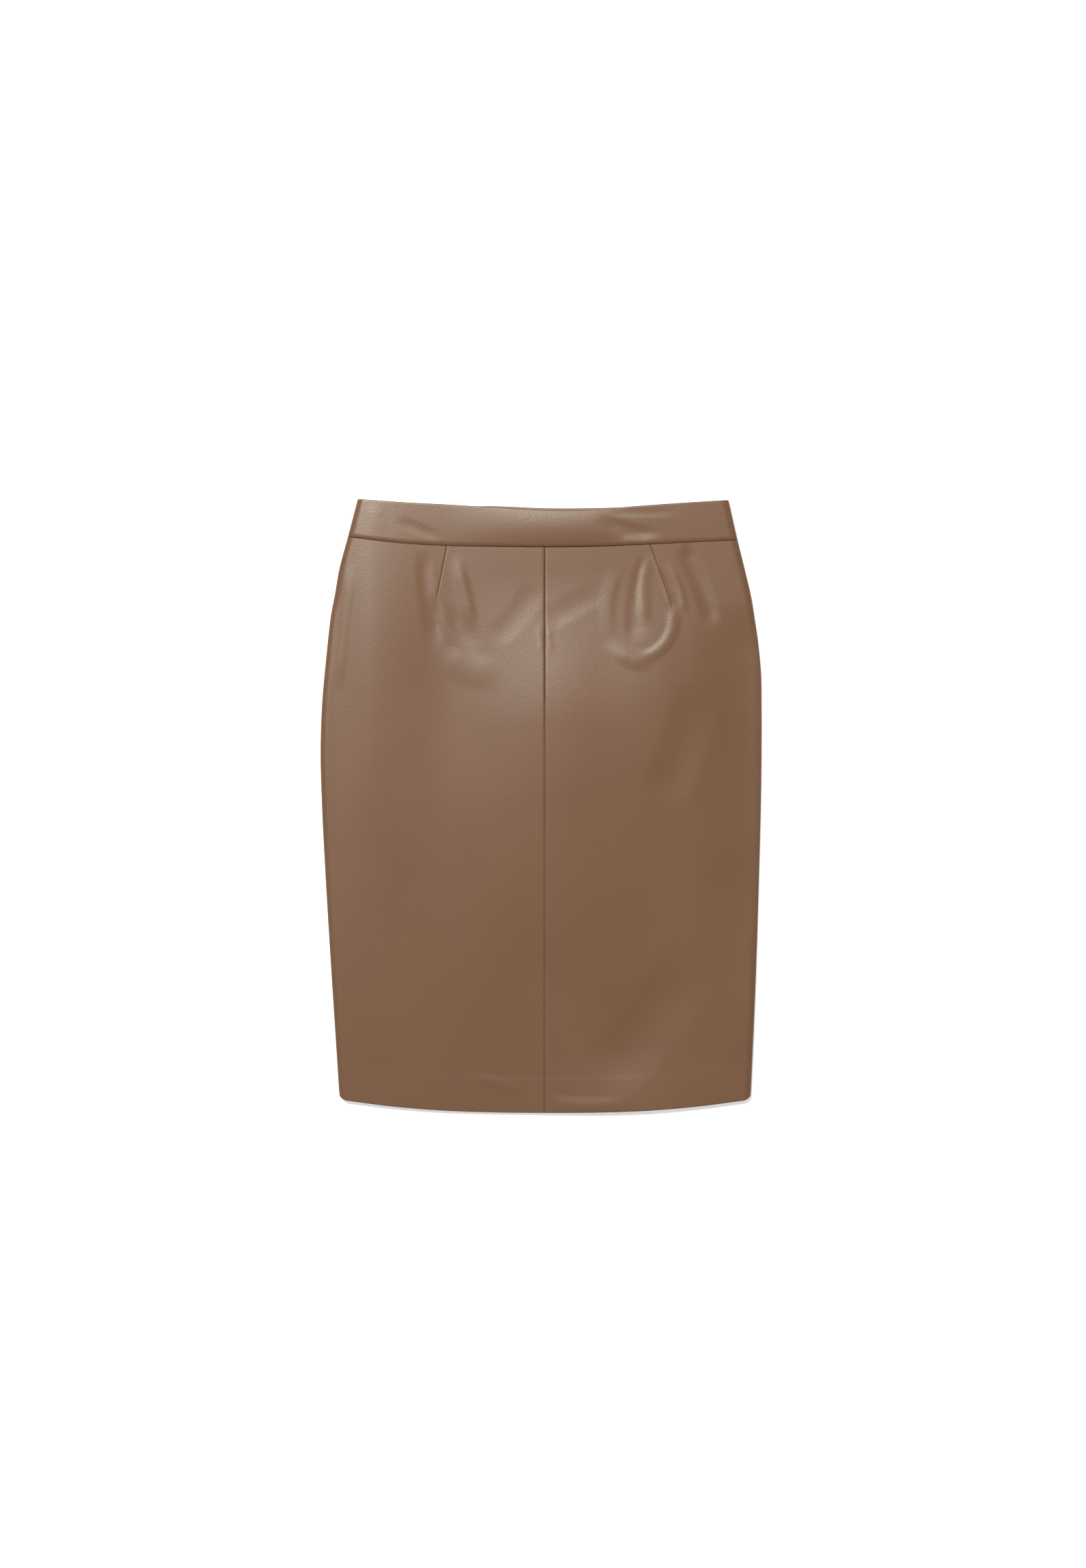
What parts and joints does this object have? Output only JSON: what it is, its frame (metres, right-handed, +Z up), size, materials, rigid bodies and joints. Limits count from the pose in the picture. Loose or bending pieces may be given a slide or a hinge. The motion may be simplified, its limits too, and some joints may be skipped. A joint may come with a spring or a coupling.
{
  "type": "midi skirt",
  "caption": "Straight midi skirt in leather-effect cloth, laid flat, with a plain waistband, a seam down the front, waist darts and a plain hem.",
  "frame": {"origin": "on the surface that the skirt lies on, under the middle of its outline", "axes": "+X across the skirt, +Y from the hem towards the waist, +Z up out of the front"},
  "size_m": [0.4603, 0.64, 0.0172],
  "materials": {
    "coated_cloth": "fine-grained, semi-matt, taupe brown",
    "zip": "brown woven tape and nylon coil"
  },
  "bodies": {
    "root": {"front_left": "coated_cloth", "front_right": "coated_cloth", "back_left": "coated_cloth", "back_right": "coated_cloth", "waistband_front": "coated_cloth", "waistband_back_left": "coated_cloth", "waistband_back_right": "coated_cloth", "zip_tape": "zip", "zip_coil": "zip", "zip_slider": "zip"}
  },
  "joints": []
}
